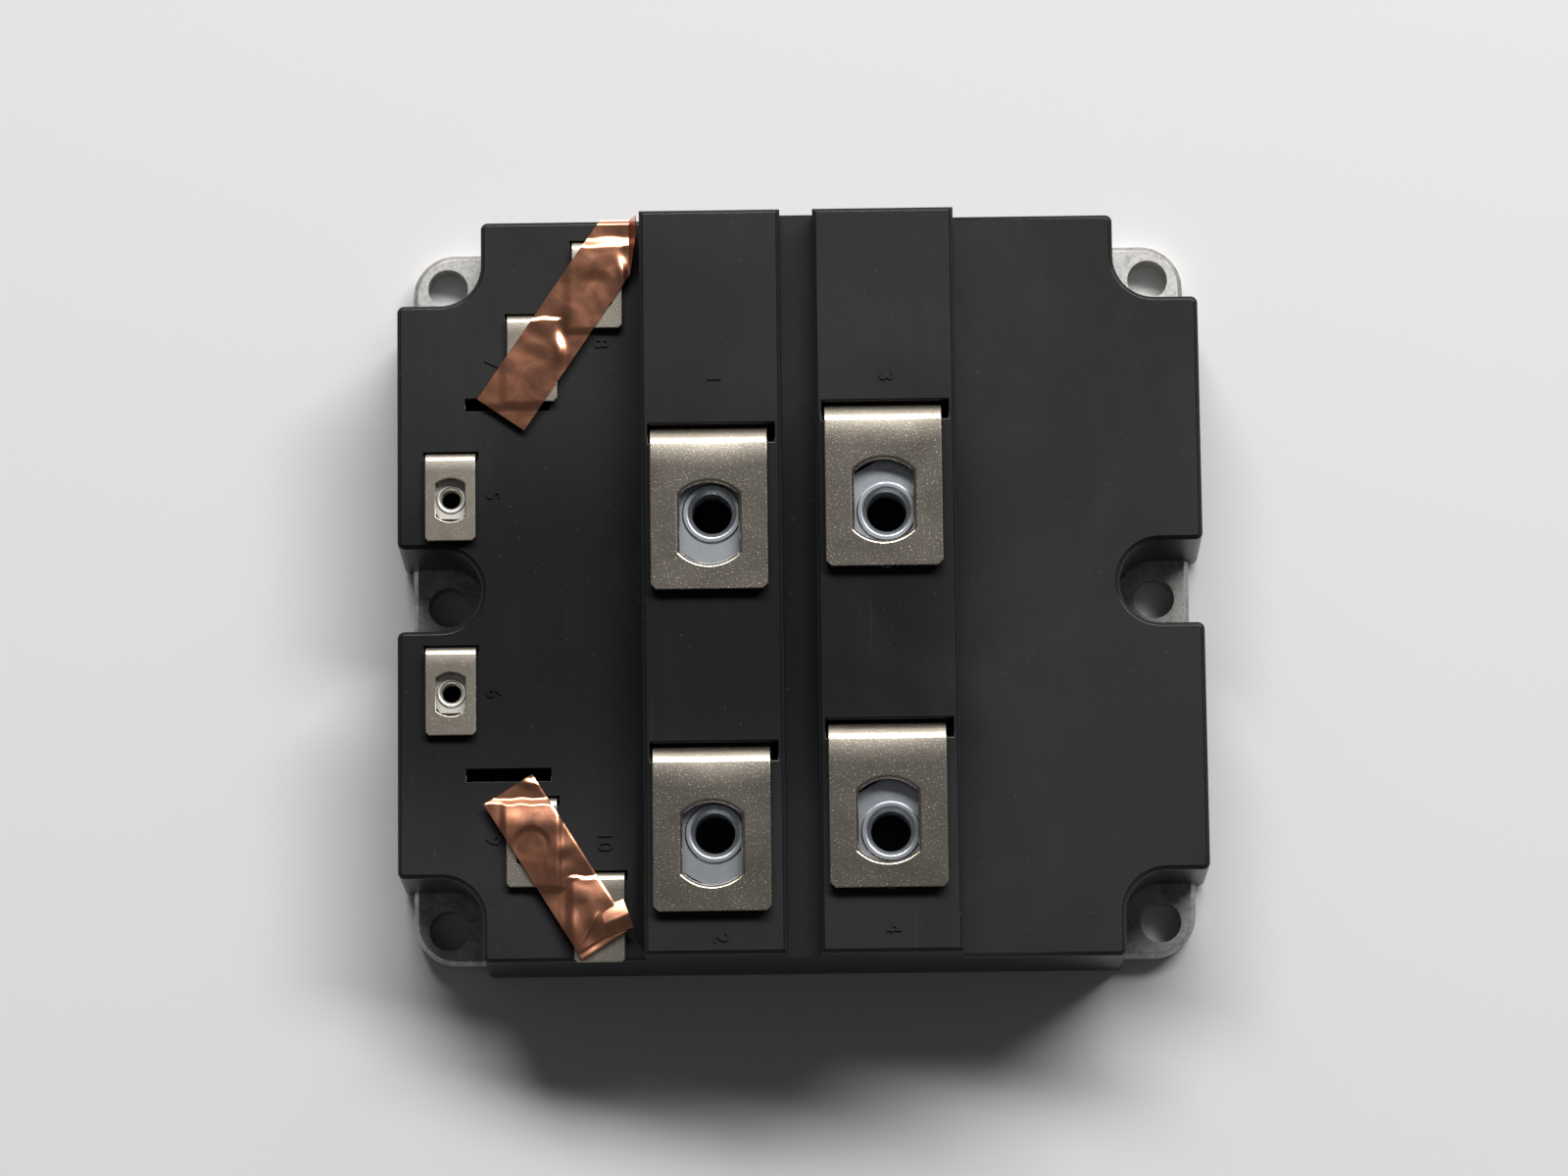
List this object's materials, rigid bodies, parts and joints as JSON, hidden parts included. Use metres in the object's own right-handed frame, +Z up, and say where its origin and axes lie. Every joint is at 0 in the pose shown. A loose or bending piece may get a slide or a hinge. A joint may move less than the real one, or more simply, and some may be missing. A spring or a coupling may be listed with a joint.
{
  "type": "power transistor module",
  "caption": "Flat rectangular power transistor module: metal base plate, black moulded housing with raised towers, bent-over screw terminals and small control tabs under foil strips.",
  "frame": {"origin": "middle of the base plate's mounting face", "axes": "+Z up out of the mounting face, +X along the long side towards the side without control terminals, +Y along the short side towards the terminals' bends"},
  "size_m": [0.14, 0.13, 0.038],
  "materials": {
    "housing_plastic": "black glass-filled moulding with a fine eroded texture",
    "plate_metal": "nickel-plated, satin light grey",
    "nickel": "nickel-plated copper, grainy satin",
    "zinc_steel": "zinc-plated steel",
    "foil": "thin crumpled copper foil, bright",
    "adhesive": "cured silicone adhesive",
    "gel": "soft clear silicone gel, drawn opaque",
    "ceramic": "bare aluminium nitride",
    "copper": "bare copper layer",
    "solder": "solder layer",
    "silicon": "metallised silicon",
    "wire_metal": "bare aluminium wire",
    "resistor": "chip resistor"
  },
  "bodies": {
    "root": {"base_plate": "plate_metal", "bond_wires_1": "wire_metal", "bond_wires_2": "wire_metal", "bond_wires_3": "wire_metal", "bond_wires_4": "wire_metal", "control_nuts": "zinc_steel", "control_terminal_1": "nickel", "control_terminal_2": "nickel", "control_terminal_3": "nickel", "control_terminal_4": "nickel", "control_terminal_5": "nickel", "control_terminal_6": "nickel", "diode_chips_1": "silicon", "diode_chips_2": "silicon", "diode_chips_3": "silicon", "diode_chips_4": "silicon", "gate_resistor_1": "resistor", "gate_resistor_2": "resistor", "gate_resistor_3": "resistor", "gate_resistor_4": "resistor", "housing": "housing_plastic", "housing_adhesive": "adhesive", "igbt_chips_1": "silicon", "igbt_chips_2": "silicon", "igbt_chips_3": "silicon", "igbt_chips_4": "silicon", "main_nuts": "zinc_steel", "main_terminal_1": "nickel", "main_terminal_2": "nickel", "main_terminal_3": "nickel", "main_terminal_4": "nickel", "shorting_foil_1": "foil", "shorting_foil_2": "foil", "silicone_gel": "gel", "substrate_back_copper_1": "copper", "substrate_back_copper_2": "copper", "substrate_back_copper_3": "copper", "substrate_back_copper_4": "copper", "substrate_ceramic_1": "ceramic", "substrate_ceramic_2": "ceramic", "substrate_ceramic_3": "ceramic", "substrate_ceramic_4": "ceramic", "substrate_circuit_1": "copper", "substrate_circuit_2": "copper", "substrate_circuit_3": "copper", "substrate_circuit_4": "copper", "substrate_solder_1": "solder", "substrate_solder_2": "solder", "substrate_solder_3": "solder", "substrate_solder_4": "solder"}
  },
  "joints": []
}
